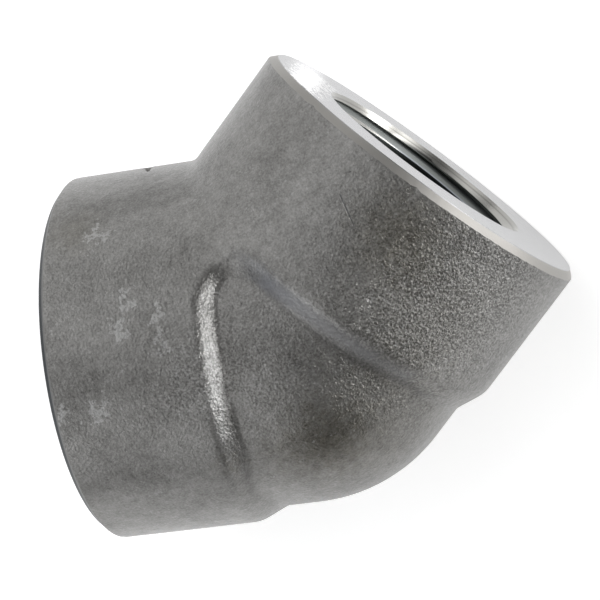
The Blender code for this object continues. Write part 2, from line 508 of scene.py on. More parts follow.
@dataclass(frozen=True)
class ForgedFinish:
    """The skin of the forging: grey blasted steel, grainy, speckled, scuffed and stained brown in places, with
    painted glints, painted shade and a painted highlight.
    """

    colour: Colour = (0.325, 0.322, 0.312, 1.0)
    dark_colour: Colour = (0.12, 0.117, 0.111, 1.0)
    fleck_and_glint_colour: Colour = (0.40, 0.40, 0.395, 1.0)
    stain_and_shade_tint: Colour = (0.48, 0.44, 0.34, 1.0)
    groove_and_shade_colour: Colour = (0.06, 0.058, 0.055, 1.0)
    rubbed_colour: Colour = (0.207, 0.209, 0.217, 1.0)
    painted_highlight_colour: Colour = (0.50, 0.50, 0.49, 1.0)
    roughness: float = 0.45
    coat: float = 0.5
    coat_roughness: float = 0.25
    grain_size: float = 0.00034
    grain_depth: float = 0.00022
    fleck_size: float = 0.0007
    fleck_and_glint_share: float = 0.45
    flake_size: float = 0.00055
    flake_range: Range = (0.33, 0.48)
    flake_share: float = 0.75
    band_core: float = 0.8
    rubbed_share: float = 0.6
    painted_highlight_share: float = 0.42
    scratch_share: float = 0.8
    scratch_depth: float = 0.8
    scratches: tuple[SkinLine, ...] = (
        SkinLine(((0.02092, 0.01198, 0.02786), (0.02046, 0.00726, 0.02801)), 0.00016),
        SkinLine(((0.02250, 0.01445, 0.02768), (0.02385, 0.01390, 0.02772)), 0.00012),
    )
    # Painted shade: dark lines along the concave feet of both shoulders, where shade falls.
    painted_crease_shades: tuple[SkinLine, ...] = (
        SkinLine(((0.0010, 0.0112, 0.0251), (0.0035, 0.0093, 0.0255)), 0.0011, 0.35),
        SkinLine(((0.0035, 0.0093, 0.0255), (0.0051, 0.0069, 0.0263)), 0.0011, 0.35),
        SkinLine(((0.0049, 0.0058, 0.0260), (0.00583, 0.00246, 0.02607)), 0.0011, 0.45),
        SkinLine(((0.00583, 0.00246, 0.02607), (0.0072, -0.00078, 0.02587)), 0.0011, 0.45),
        SkinLine(((0.0072, -0.00078, 0.02587), (0.00833, -0.00392, 0.02519)), 0.0011, 0.5),
        SkinLine(((0.00833, -0.00392, 0.02519), (0.00944, -0.00693, 0.02404)), 0.0011, 0.5),
        SkinLine(((0.00944, -0.00693, 0.02404), (0.01088, -0.00983, 0.02257)), 0.0012, 0.5),
        SkinLine(((0.01088, -0.00983, 0.02257), (0.01229, -0.01244, 0.02083)), 0.0012, 0.5),
        SkinLine(((0.01229, -0.01244, 0.02083), (0.01369, -0.01513, 0.01837)), 0.0012, 0.5),
        SkinLine(((0.01369, -0.01513, 0.01837), (0.01457, -0.01782, 0.01477)), 0.0012, 0.5),
        SkinLine(((-0.00773, -0.00251, 0.02572), (-0.00853, -0.00422, 0.02534)), 0.0009, 0.5),
        SkinLine(((-0.00853, -0.00422, 0.02534), (-0.00926, -0.00601, 0.02474)), 0.0009, 0.5),
        SkinLine(((-0.00926, -0.00601, 0.02474), (-0.01035, -0.00866, 0.02352)), 0.0012, 0.6),
        SkinLine(((-0.01035, -0.00866, 0.02352), (-0.01129, -0.01076, 0.02227)), 0.0012, 0.6),
        SkinLine(((-0.01129, -0.01076, 0.02227), (-0.01232, -0.01287, 0.02071)), 0.0012, 0.55),
        SkinLine(((-0.01232, -0.01287, 0.02071), (-0.01328, -0.01514, 0.0185)), 0.0012, 0.55),
        SkinLine(((-0.01328, -0.01514, 0.0185), (-0.0145, -0.01717, 0.01605)), 0.0011, 0.3),
        SkinLine(((-0.0145, -0.01717, 0.01605), (-0.0154, -0.0187, 0.0135)), 0.0011, 0.3),
    )
    rubbed_bands: tuple[SkinLine, ...] = (
        SkinLine(((0.0053, 0.0066, 0.0264), (0.00748, 0.00205, 0.02689)), 0.0022),
        SkinLine(((0.00748, 0.00205, 0.02689), (0.00975, -0.00354, 0.02599)), 0.0022),
        SkinLine(((0.00975, -0.00354, 0.02599), (0.0123, -0.00944, 0.02341)), 0.0026, 0.8),
        SkinLine(((0.0123, -0.00944, 0.02341), (0.0145, -0.0142, 0.0195)), 0.0026, 0.6),
    )
    # Painted highlight: a pale band along the left hub's shoulder slope, where the light falls on it.
    painted_highlight_bands: tuple[SkinLine, ...] = (
        SkinLine(((-0.0024, 0.0100, 0.0253), (-0.0050, 0.0066, 0.0267)), 0.0022, 0.3),
        SkinLine(((-0.0050, 0.0066, 0.0267), (-0.0068, 0.0028, 0.0272)), 0.0022, 0.3),
        SkinLine(((-0.0068, 0.0028, 0.0272), (-0.0086, -0.0011, 0.0269)), 0.0022, 0.8),
        SkinLine(((-0.0086, -0.0011, 0.0269), (-0.0104, -0.0051, 0.0260)), 0.0022, 0.8),
        SkinLine(((-0.0104, -0.0051, 0.0260), (-0.0114, -0.0083, 0.0244)), 0.0022, 0.8),
    )
    scuffs: tuple[SoftPatch, ...] = (
        SoftPatch((-0.01377, 0.01499, 0.02660), 0.0034, 0.95, 0.8),
        SoftPatch((-0.01064, 0.01060, 0.02735), 0.0034, 1.0, 0.8),
        SoftPatch((-0.01685, 0.01190, 0.02758), 0.0036, 0.95, 0.8),
        SoftPatch((-0.01463, 0.02588, 0.02110), 0.0050, 0.9, 0.8),
        SoftPatch((-0.02519, 0.00346, 0.02719), 0.0044, 1.0, 0.8),
        SoftPatch((-0.03053, 0.00565, 0.02718), 0.0030, 0.95, 0.8),
        SoftPatch((-0.01222, 0.00680, 0.02789), 0.0030, 0.9, 0.8),
    )
    # Brown stains, partly painted shade: the first patch, on the right hub's middle, and the second, at the
    # recess's bottom, also paint the shade there.
    stains_and_painted_shade: tuple[SoftPatch, ...] = (
        SoftPatch((0.02529, 0.00278, 0.02711), 0.0110, 0.5),
        SoftPatch((0.00036, -0.0168, 0.01994), 0.0095, 0.42),
        SoftPatch((-0.0136, -0.0127, 0.0215), 0.0032, 0.3, 0.9),
        SoftPatch((0.0055, -0.0182, 0.0178), 0.0190, 0.35),
        SoftPatch((0.0210, -0.0080, 0.0220), 0.0210, 0.22),
        SoftPatch((-0.0040, -0.0170, 0.0200), 0.0120, 0.22),
        SoftPatch((-0.0170, 0.0283, 0.0199), 0.0065, 0.4),
    )
    coarse_patches: tuple[SoftPatch, ...] = (
        SoftPatch((0.02500, -0.0095, 0.02050), 0.0260, 1.0),
        SoftPatch((-0.00850, -0.0012, 0.02660), 0.0110, 0.6),
        SoftPatch((-0.0040, -0.0020, 0.0260), 0.0190, 0.35),
    )

    def material(self, shared: SharedGroups) -> bpy.types.Material:
        """Return the skin's material, made with the shared groups."""
        made, sketch = new_material("forged_skin")
        coarseness = shared.patches(sketch, self.coarse_patches)
        values = {"Grain Size": self.grain_size, "Fleck Size": self.fleck_size, "Coarseness": coarseness}
        grain = sketch.use(BlastedGrain().group(), values)
        colour = sketch.mix_colour(grain["Tone"], self.dark_colour, self.colour)
        # Each patch darkens and warms the colour: partly a brown stain, partly painted shade.
        for stain_shade in self.stains_and_painted_shade:
            tint = sketch.mix_colour(shared.patch(sketch, stain_shade), WHITE, self.stain_and_shade_tint)
            colour = sketch.vector("MULTIPLY", colour, tint)
        flakes = sketch.noise(sketch.object_place(), self.flake_size, detail=4.0, roughness=0.7)
        scuffed = sketch.times(shared.patches(sketch, self.scuffs), flakes)
        flaked = sketch.remap(scuffed, *self.flake_range, 0.0, self.flake_share)
        colour = sketch.mix_colour(flaked, colour, self.fleck_and_glint_colour)
        # Pale flecks together with the painted glints on the grain.
        fleck_and_glint_mix = sketch.times(grain["Flecks And Painted Glints"], self.fleck_and_glint_share)
        colour = sketch.mix_colour(fleck_and_glint_mix, colour, self.fleck_and_glint_colour)
        rubbed = shared.lines(sketch, self.rubbed_bands)
        rubbed = sketch.remap(rubbed, 0.0, self.band_core, 0.0, self.rubbed_share)
        colour = sketch.mix_colour(rubbed, colour, self.rubbed_colour)
        # Painted highlight along the left shoulder slope, speckled by the grain's tone.
        painted_highlight = shared.lines(sketch, self.painted_highlight_bands)
        painted_highlight = sketch.remap(painted_highlight, 0.0, self.band_core, 0.0, self.painted_highlight_share)
        painted_highlight = sketch.times(painted_highlight, sketch.plus(grain["Tone"], 0.5))
        colour = sketch.mix_colour(painted_highlight, colour, self.painted_highlight_colour)
        # Painted shade along the shoulders' feet, in the same dark colour as the scratches' grooves.
        colour = sketch.mix_colour(shared.lines(sketch, self.painted_crease_shades), colour, self.groove_and_shade_colour)
        scratched = shared.lines(sketch, self.scratches)
        colour = sketch.mix_colour(sketch.times(scratched, self.scratch_share), colour, self.groove_and_shade_colour)
        height = sketch.times(grain["Height"], sketch.minus(1.0, rubbed))
        height = sketch.minus(height, sketch.times(scratched, self.scratch_depth))
        sketch.shade(
            {
                "Base Color": colour,
                "Metallic": 1.0,
                "Roughness": self.roughness,
                "Coat Weight": self.coat,
                "Coat Roughness": self.coat_roughness,
                "Normal": sketch.bump(height, self.grain_depth),
            }
        )
        return made


@dataclass(frozen=True)
class TurnedFinish:
    """The faced ends: pale, bright steel with fine rings from the tool, duller chamfers, a painted glare of
    pale specks on the right face and painted shade on the left hub's chamfer.
    """

    colour: Colour = (0.41, 0.41, 0.42, 1.0)
    streak_colour: Colour = (0.385, 0.385, 0.395, 1.0)
    streak_range: Range = (0.35, 0.65)
    chamfer_colour: Colour = (0.33, 0.32, 0.303, 1.0)
    chamfer_range: Range = (0.00012, 0.00004)
    # Painted shade: the left hub's chamfer is coloured dark, for the shade that falls on it.
    left_chamfer_shade_colour: Colour = (0.025, 0.030, 0.034, 1.0)
    left_chamfer_shade_range: Range = (0.0003, 0.0006)
    edge_shade_colour: Colour = (0.16, 0.16, 0.158, 1.0)
    left_reach: float = 0.001
    roughness: float = 0.25
    chamfer_roughness: float = 0.40
    feed: float = 0.00012
    ring_depth: float = 0.000003
    grit_size: float = 0.0005
    grit_depth: float = 0.00002
    # Painted highlight: pale specks that paint the glare of light on the upper part of the right hub's end
    # face.
    painted_glare: SkinLine = SkinLine(((0.0215, 0.0319, -0.0030), (0.0225, 0.0293, 0.0185)), 0.0050)
    painted_glare_colour: Colour = (0.72, 0.72, 0.72, 1.0)
    painted_glare_speck_size: float = 0.0007
    painted_glare_range: Range = (0.61, 0.67)
    painted_glare_gain: float = 0.25
    painted_glare_fade: float = 0.15

    def painted_glare_mask(self, sketch: NodeSketch, shared: SharedGroups, place: Socket) -> Socket:
        """Return where the painted glare of pale specks lies on the face, from 0 to 1."""
        closeness = shared.lines(sketch, (self.painted_glare,))
        specks = sketch.noise(place, self.painted_glare_speck_size, detail=3.0)
        specks = sketch.plus(specks, sketch.times(closeness, self.painted_glare_gain))
        fading = sketch.remap(closeness, 0.0, self.painted_glare_fade)
        return sketch.times(sketch.remap(specks, *self.painted_glare_range), fading)

    def material(self, sizes: ElbowSizes, shared: SharedGroups) -> bpy.types.Material:
        """Return the turned ends' material.

        Args:
            sizes: The elbow's sizes.
            shared: The shared groups.

        Returns:
            The new material.
        """
        made, sketch = new_material("turned_face")
        hub = sketch.use(shared.hub_place)
        ring_place = sketch.minus(hub["Radius"], hub["Along"])
        marks = sketch.use(shared.turning_marks, {"Distance": ring_place, "Feed": self.feed})
        streak = sketch.remap(marks["Streak"], *self.streak_range)
        colour = sketch.mix_colour(streak, self.streak_colour, self.colour)
        face = sizes.centre_to_end
        chamfer_start, chamfer_full = (face - depth for depth in self.chamfer_range)
        chamfer = sketch.remap(hub["Along"], chamfer_start, chamfer_full, 1.0, 0.0)
        place = sketch.object_place()
        # Painted shade on the left hub's chamfer: darker than the right one, and darkest towards the face.
        side = sketch.add("ShaderNodeSeparateXYZ", {0: place}).outputs[0]
        left_end = sketch.remap(side, -self.left_reach, self.left_reach, 1.0, 0.0)
        edge_shade_end, deep_shade_start = (face - sizes.end_chamfer + reach for reach in self.left_chamfer_shade_range)
        inner = sketch.remap(hub["Along"], edge_shade_end, deep_shade_start)
        left_shade_colour = sketch.mix_colour(inner, self.edge_shade_colour, self.left_chamfer_shade_colour)
        chamfer_colour = sketch.mix_colour(left_end, self.chamfer_colour, left_shade_colour)
        # The painted glare goes into the face's colour.
        colour = sketch.mix_colour(self.painted_glare_mask(sketch, shared, place), colour, self.painted_glare_colour)
        duller = sketch.times(chamfer, self.chamfer_roughness - self.roughness)
        grit = sketch.times(sketch.noise(place, self.grit_size), self.grit_depth / self.ring_depth)
        sketch.shade(
            {
                "Base Color": sketch.mix_colour(chamfer, colour, chamfer_colour),
                "Metallic": 1.0,
                "Roughness": sketch.plus(duller, self.roughness),
                "Normal": sketch.bump(sketch.plus(marks["Height"], grit), self.ring_depth),
            }
        )
        return made


@dataclass(frozen=True)
class ThreadedFinish:
    """The bore: a bright cut countersink, a painted highlight on the crests and painted shade in the grooves.
    """

    countersink_colour: Colour = (0.365, 0.36, 0.34, 1.0)
    mark_colour: Colour = (0.20, 0.195, 0.18, 1.0)
    mark_share: float = 0.7
    painted_crest_highlight_colour: Colour = (0.27, 0.29, 0.31, 1.0)
    groove_and_shade_colour: Colour = (0.17, 0.18, 0.175, 1.0)
    roughness: float = 0.20
    groove_roughness: float = 0.45
    feed: float = 0.00015
    ring_depth: float = 0.000003
    crest_reach: float = 0.0004
    countersink_reach: float = 0.0001
    mark_depth: float = 0.0005
    mark_reach: float = 0.00018

    def material(self, sizes: ElbowSizes, shared: SharedGroups) -> bpy.types.Material:
        """Return the bore's material.

        Args:
            sizes: The elbow's sizes.
            shared: The shared groups.

        Returns:
            The new material.
        """
        made, sketch = new_material("cut_thread")
        hub = sketch.use(shared.hub_place)
        ring_place = sketch.plus(hub["Radius"], hub["Along"])
        marks = sketch.use(shared.turning_marks, {"Distance": ring_place, "Feed": self.feed})
        depth = sketch.minus(sizes.centre_to_end, hub["Along"])
        crest_radius = sketch.minus(sizes.crest_radius, sketch.times(depth, sizes.thread_taper))
        over_crest = sketch.minus(hub["Radius"], crest_radius)
        on_crest = sketch.remap(over_crest, 0.0, self.crest_reach, 1.0, 0.0)
        over_cone = sketch.minus(hub["Radius"], sketch.minus(sizes.mouth_radius, depth))
        on_cone = sketch.remap(over_cone, self.countersink_reach / 2, self.countersink_reach, 1.0, 0.0)
        off_mark = sketch.math("ABSOLUTE", sketch.minus(depth, self.mark_depth))
        on_mark = sketch.times(sketch.remap(off_mark, 0.0, self.mark_reach, 1.0, 0.0), self.mark_share)
        cone_colour = sketch.mix_colour(on_mark, self.countersink_colour, self.mark_colour)
        # Painted highlight near the crests, painted shade in the grooves.
        thread_colour = sketch.mix_colour(on_crest, self.groove_and_shade_colour, self.painted_crest_highlight_colour)
        smoother = sketch.times(on_cone, self.roughness - self.groove_roughness)
        sketch.shade(
            {
                "Base Color": sketch.mix_colour(on_cone, thread_colour, cone_colour),
                "Metallic": 1.0,
                "Roughness": sketch.plus(smoother, self.groove_roughness),
                "Normal": sketch.bump(marks["Height"], self.ring_depth),
            }
        )
        return made


def around_axis(radius: float, angle: float, along: float) -> Vector:
    """Return the point at this radius, angle and distance along an axis, in that axis's own frame."""
    return Vector((radius * math.cos(angle), radius * math.sin(angle), along))


@dataclass(frozen=True)
class ShoulderShift:
    """How far further out a shoulder of the upper die lies than the lower die's, at foot and top."""

    foot: float
    top: float


@dataclass
class ForgedHub:
    """The forged skin of one hub in the hub's own frame: X towards the throat, Z out along the axis."""

    sizes: ElbowSizes
    shift: ShoulderShift
    upper_side: int
    shift_reach: float = 0.003
    columns: int = 384
    rows: int = 66
    settling_rounds: int = 10

    def shoulder_rise(self, fraction: float) -> float:
        """Return the share of the shoulder's height reached, a given share of the way up its width."""
        foot, rounded = self.sizes.shoulder_foot_share, self.sizes.shoulder_rounded_share
        held = min(max(fraction, 0.0), 1.0)
        steepness = 1 / (1 - (foot + rounded) / 2)
        if held < foot:
            return steepness * held**2 / (2 * foot)
        if held > 1 - rounded:
            return 1 - steepness * (1 - held) ** 2 / (2 * rounded)
        return steepness * (held - foot / 2)

    def distance_from_middle(self, along: float, across: float) -> float:
        """Return how far a point lies from the elbow's middle, measured by the shoulder's rounded outline."""
        corner_along = self.sizes.shoulder_start_at_side - self.sizes.recess_corner_radius
        corner_across = corner_along / math.tan(self.sizes.half_turn)
        if across <= corner_across:
            return along
        return corner_along + math.hypot(along - corner_along, across - corner_across)

    def radius(self, along: float, across: float, angle: float) -> float:
        """Return the skin's distance from the hub's axis."""
        sizes = self.sizes
        body = sizes.body_radius if along >= 0 else math.sqrt(sizes.body_radius**2 - along**2)
        side = math.sin(angle) ** 2
        start_gain = sizes.shoulder_start_at_side - sizes.shoulder_start_at_heel
        width_gain = sizes.shoulder_width_at_side - sizes.shoulder_width_at_heel
        start = sizes.shoulder_start_at_heel + start_gain * side
        width = sizes.shoulder_width_at_heel + width_gain * side
        past_middle = min(max((along - across * math.tan(sizes.half_turn)) / self.shift_reach, 0.0), 1.0)
        upper_share = past_middle * max(self.upper_side * math.sin(angle), 0.0)
        start += self.shift.foot * upper_share
        width += (self.shift.top - self.shift.foot) * upper_share
        fraction = (self.distance_from_middle(along, across) - start) / width
        return body + sizes.shoulder_height * self.shoulder_rise(fraction)

    def fillet_raise(self, along: float, across: float, angle: float) -> float:
        """Return how far the fillet between the hubs lifts the skin, across the hub."""
        valley_gain = self.sizes.valley_fillet - self.sizes.crotch_fillet
        fillet = self.sizes.crotch_fillet + valley_gain * math.sin(angle) ** 2
        inside = (across + fillet) * math.tan(self.sizes.half_turn) - along
        if across <= 0 or inside <= 0:
            return 0.0
        reach = min(inside, fillet * math.sin(self.sizes.half_turn))
        return fillet - math.sqrt(fillet**2 - reach**2)

    def section(self, along: float, angle: float) -> tuple[float, float]:
        """Return how far across and how high the skin lies, at a place along the hub and an angle."""
        across = self.sizes.hub_radius * math.cos(angle)
        radius = self.sizes.hub_radius
        for _ in range(self.settling_rounds):
            radius = self.radius(along, across, angle)
            across = radius * math.cos(angle)
            across += self.fillet_raise(along, across, angle)
        return across, radius * math.sin(angle)

    def mirror_plane_distance(self, angle: float) -> float:
        """Return how far along the hub its skin meets the mirror plane, at this angle."""
        slope = math.tan(self.sizes.half_turn)
        along = self.sizes.body_radius * math.cos(angle) * slope
        for _ in range(self.settling_rounds):
            across, _ = self.section(along, angle)
            along = across * slope
        return along

    def column(self, angle: float) -> list[Vector]:
        """Return the skin's points at one angle, from the chamfer's outer edge to the mirror plane."""
        first = self.sizes.centre_to_end - self.sizes.end_chamfer
        last = self.mirror_plane_distance(angle)
        points = []
        for row in range(self.rows + 1):
            along = first + (last - first) * row / self.rows
            across, height = self.section(along, angle)
            points.append(Vector((across, height, along)))
        points[-1].z = points[-1].x * math.tan(self.sizes.half_turn)
        return points

    def grid(self) -> list[list[Vector]]:
        """Return all the columns round the hub."""
        return [self.column(2 * math.pi * count / self.columns) for count in range(self.columns)]


@dataclass
class ThreadedBore:
    """One bore in the hub's own frame: countersink, thread, and the drilled waterway to the mirror plane."""

    sizes: ElbowSizes
    columns: int = 192
    rows_per_turn: int = 8
    runout: float = 0.0045
    first_column: int = 9
    waterway_rows: int = 10
    crest_flat: float = 0.05

    @property
    def turns(self) -> int:
        """Turns of the thread that the wound grid covers, with one spare that is trimmed off at the ends."""
        return math.ceil(self.sizes.thread_length / self.sizes.thread_pitch) + 1

    def inputs(self, material: bpy.types.Material) -> dict[str, object]:
        """Return the values of the thread tree's inputs."""
        sizes = self.sizes
        return {
            "Mouth Radius": sizes.mouth_radius,
            "Crest Radius": sizes.crest_radius,
            "Taper": sizes.thread_taper,
            "Pitch": sizes.thread_pitch,
            "Height": sizes.thread_height,
            "Length": sizes.thread_length,
            "Run-out": self.runout,
            "Crest Flat": self.crest_flat,
            "Turns": float(self.turns),
            "Start Turn": self.first_column / self.columns,
            "Face Distance": sizes.centre_to_end,
            "Columns": self.columns,
            "Rows": self.turns * self.rows_per_turn,
            "Material": material,
        }

    def tree(self, inputs: dict[str, object]) -> Group:
        """Make the Geometry Nodes tree that winds the thread down the taper bore.

        A flat grid is wound so that its rows follow the helix. What runs past the end face or the thread's
        end is pressed flat onto that plane and merged, so that both ends are plain circles.

        Args:
            inputs: The values of its inputs.

        Returns:
            The geometry node group.
        """
        sketch = new_group("wound_thread", inputs, ("Geometry",), kind="Geometry")
        given = sketch.add("NodeGroupInput").outputs
        counts = {"Vertices X": sketch.plus(given["Columns"], 1), "Vertices Y": sketch.plus(given["Rows"], 1)}
        sheet = sketch.add("GeometryNodeMeshGrid", {"Size X": 1.0, "Size Y": 1.0, **counts})
        flat = sketch.add("ShaderNodeSeparateXYZ", {0: sketch.add("GeometryNodeInputPosition").outputs[0]})
        turn = sketch.plus(flat.outputs[0], 0.5)
        helix = sketch.times(sketch.plus(flat.outputs[1], 0.5), given["Turns"])
        travel = sketch.times(sketch.minus(sketch.plus(helix, turn), 1.0), given["Pitch"])
        depth = sketch.math("MINIMUM", sketch.math("MAXIMUM", travel, 0.0), given["Length"])
        wave = sketch.minus(sketch.times(sketch.math("FRACT", helix), 2.0), 1.0)
        groove = sketch.minus(1.0, sketch.math("ABSOLUTE", wave))
        spread = sketch.plus(sketch.times(given["Crest Flat"], 2.0), 1.0)
        groove = sketch.minus(sketch.times(groove, spread), given["Crest Flat"], clamp=True)
        fading = sketch.over(sketch.minus(given["Length"], depth), given["Run-out"], clamp=True)
        cut = sketch.times(sketch.times(groove, fading), given["Height"])
        crest = sketch.minus(given["Crest Radius"], sketch.times(depth, given["Taper"]))
        countersink = sketch.minus(given["Mouth Radius"], depth)
        radius = sketch.math("MAXIMUM", sketch.plus(crest, cut), countersink)
        around = sketch.times(sketch.plus(turn, given["Start Turn"]), -2 * math.pi)
        wound = sketch.combine(
            sketch.times(radius, sketch.math("COSINE", around)),
            sketch.times(radius, sketch.math("SINE", around)),
            sketch.minus(given["Face Distance"], depth),
        )
        geometry = sheet.outputs["Mesh"]
        for kind, values in (
            ("SetPosition", {"Position": wound}),
            ("MergeByDistance", {"Distance": MERGE_DISTANCE}),
            ("RealizeInstances", {}),
            ("SetMaterial", {"Material": given["Material"]}),
        ):
            geometry = sketch.add(f"GeometryNode{kind}", {"Geometry": geometry, **values}).outputs[0]
        sketch.add("NodeGroupOutput", {"Geometry": geometry})
        return sketch.tree

    def wound_mesh(self, material: bpy.types.Material) -> bpy.types.Mesh:
        """Evaluate the thread's tree and return its plain mesh.

        Args:
            material: The thread's finish.

        Returns:
            The wound thread, in the hub's own frame.
        """
        values = self.inputs(material)
        tree = self.tree(values)
        carrier = bpy.data.objects.new("thread_carrier", bpy.data.meshes.new("thread_carrier"))
        bpy.context.scene.collection.objects.link(carrier)
        winding = carrier.modifiers.new("winding", "NODES")
        winding.node_group = tree
        for item in tree.interface.items_tree:
            if item.item_type == "SOCKET" and item.in_out == "INPUT":
                winding[item.identifier] = values[item.name]
        depsgraph = bpy.context.evaluated_depsgraph_get()
        wound = bpy.data.meshes.new_from_object(carrier.evaluated_get(depsgraph), depsgraph=depsgraph)
        bpy.data.objects.remove(carrier)
        return wound

    def waterway_column(self, angle: float) -> list[Vector]:
        """Return the drilled waterway's points at one angle, from the thread's end to the mirror plane."""
        sizes = self.sizes
        slope = math.cos(angle) * math.tan(sizes.half_turn)
        thread_end = sizes.centre_to_end - sizes.thread_length
        step = (sizes.thread_end_radius - sizes.waterway_radius) / sizes.drill_slope
        if slope >= 0:
            meeting = sizes.waterway_radius * slope
        else:
            meeting = sizes.waterway_radius * slope / (1 - sizes.drill_slope * slope)
        full_bore_end = max(meeting, 0.0)
        profile = [(sizes.thread_end_radius, thread_end)]
        for row in range(self.waterway_rows + 1):
            along = thread_end - step + (full_bore_end - thread_end + step) * row / self.waterway_rows
            profile.append((sizes.waterway_radius, along))
        if slope < 0:
            for share in (0.5, 1.0):
                profile.append((sizes.waterway_radius + meeting * share * sizes.drill_slope, meeting * share))
        points = [around_axis(radius, angle, along) for radius, along in profile]
        points[-1].z = points[-1].x * math.tan(sizes.half_turn)
        return points


@dataclass(frozen=True)
class Dent:
    """A small dent or nick in the forged skin, in the elbow's own frame, drawn out both ways by its run."""

    place: Point
    width: float
    depth: float
    run: Point = (0.0, 0.0, 0.0)

    def sink(self, place: Vector) -> float:
        """Return how deep the dent presses the skin in at a place."""
        gap, run = place - Vector(self.place), Vector(self.run)
        if run.length_squared > 0:
            gap -= run * min(max(gap.dot(run) / run.length_squared, -1.0), 1.0)
        return self.depth * math.exp(-((gap.length / self.width) ** 2))


@dataclass
class Elbow:
    """The whole elbow as one closed mesh, with its three finishes."""

    sizes: ElbowSizes = field(default_factory=ElbowSizes)
    stance: Stance = field(default_factory=Stance)
    forged: ForgedFinish = field(default_factory=ForgedFinish)
    turned: TurnedFinish = field(default_factory=TurnedFinish)
    threaded: ThreadedFinish = field(default_factory=ThreadedFinish)
    clearance: float = 0.00003
    wave_depth: float = 0.00006
    waves: tuple[tuple[float, int, Point], ...] = ((0.65, 110, (7.1, 3.3, 1.9)), (0.35, 420, (2.7, 8.2, 5.4)))
    shoulder_shifts: tuple[ShoulderShift, ShoulderShift] = (
        ShoulderShift(-0.0003, 0.0006),
        ShoulderShift(-0.0006, -0.0006),
    )
    ragged_depth: float = 0.00012
    ragged_density: int = 1500
    ragged_start: float = 0.35
    dents: tuple[Dent, ...] = (
        Dent((0.02269, 0.02488, 0.02410), 0.0005, 0.00035),
        Dent((0.03003, 0.00704, 0.02758), 0.0005, 0.00035),
        Dent((0.00900, 0.01622, 0.02554), 0.0005, 0.00015),
        Dent((-0.00690, 0.03300, 0.00400), 0.0004, 0.0009, (0.00085, -0.00050, 0.00340)),
    )

    def hub_frames(self) -> tuple[Matrix, Matrix]:
        """Return the transforms from a hub's own frame to the elbow's, for the right and the left hub."""
        cosine, sine = math.cos(self.sizes.half_turn), math.sin(self.sizes.half_turn)
        right = Matrix(((-sine, 0, cosine), (cosine, 0, sine), (0, 1, 0))).to_4x4()
        left = Matrix.Rotation(math.pi, 4, "Y") @ right
        return right, left

    def half(self, thread: bpy.types.Mesh, skin: ForgedHub) -> bmesh.types.BMesh:
        """Build one hub with its bore, open at the mirror plane, in the hub's own frame.

        Args:
            thread: The wound thread's mesh.
            skin: The hub's forged skin.

        Returns:
            The half elbow.
        """
        sizes, bore = self.sizes, ThreadedBore(self.sizes)
        form = bmesh.new()
        form.from_mesh(thread)
        for face in form.faces:
            face.material_index = Surface.THREADED.value
        columns = [[form.verts.new(point) for point in column] for column in skin.grid()]
        rims = []
        for number in range(skin.columns):
            angle = 2 * math.pi * number / skin.columns
            point = around_axis(sizes.hub_radius - sizes.end_chamfer, angle, sizes.centre_to_end)
            rims.append(form.verts.new(point))
        for number, (here, there) in enumerate(zip(columns, columns[1:] + columns[:1])):
            for row in range(len(here) - 1):
                form.faces.new((here[row], here[row + 1], there[row + 1], there[row]))
            chamfer = form.faces.new((rims[number], here[0], there[0], rims[(number + 1) % skin.columns]))
            chamfer.material_index = Surface.TURNED.value
        mouths, waterway = [], []
        for number in range(bore.columns):
            angle = 2 * math.pi * number / bore.columns
            mouths.append(form.verts.new(around_axis(sizes.mouth_radius, angle, sizes.centre_to_end)))
            waterway.append([form.verts.new(point) for point in bore.waterway_column(angle)])
        share = skin.columns // bore.columns
        for number in range(bore.columns):
            after = (number + 1) % bore.columns
            outer = [rims[(number * share + step) % skin.columns] for step in range(share + 1)]
            ring = form.faces.new([mouths[number], *outer, mouths[after]])
            ring.material_index = Surface.TURNED.value
            self.join_columns(form, waterway[number], waterway[after])
        bmesh.ops.remove_doubles(form, verts=form.verts, dist=MERGE_DISTANCE)
        return form

    @staticmethod
    def join_columns(form: bmesh.types.BMesh, here: list, there: list) -> None:
        """Join two neighbouring columns of the waterway, which may end in different numbers of points."""
        shared = min(len(here), len(there))
        for row in range(shared - 1):
            face = form.faces.new((here[row], there[row], there[row + 1], here[row + 1]))
            face.material_index = Surface.THREADED.value
        longer = here if len(here) > len(there) else there
        last = here[shared - 1] if longer is there else there[shared - 1]
        for row in range(shared - 1, len(longer) - 1):
            face = form.faces.new((last, longer[row], longer[row + 1]))
            face.material_index = Surface.THREADED.value

    def whole(self, thread: bpy.types.Mesh) -> bmesh.types.BMesh:
        """Join the two halves at the mirror plane, in the elbow's own frame.

        Args:
            thread: The wound thread's mesh.

        Returns:
            The closed elbow.
        """
        form = bmesh.new()
        for matrix, shift, upper_side in zip(self.hub_frames(), self.shoulder_shifts, (1, -1)):
            half = self.half(thread, ForgedHub(self.sizes, shift, upper_side))
            half_mesh = bpy.data.meshes.new("half")
            half.to_mesh(half_mesh)
            half.free()
            known = len(form.verts)
            form.from_mesh(half_mesh)
            form.verts.ensure_lookup_table()
            bmesh.ops.transform(form, matrix=matrix, verts=form.verts[known:])
            bpy.data.meshes.remove(half_mesh)
        bmesh.ops.remove_doubles(form, verts=form.verts, dist=MERGE_DISTANCE)
        bmesh.ops.recalc_face_normals(form, faces=form.faces)
        form.normal_update()
        return form

    def sink(self, place: Vector) -> float:
        """Return how far the forged skin lies inside its nominal form, in the elbow's own frame."""
        depth = self.clearance
        for share, density, shift in self.waves:
            depth += self.wave_depth * share * (0.5 + 0.5 * noise.noise(place * density + Vector(shift)))
        return depth + sum(dent.sink(place) for dent in self.dents)

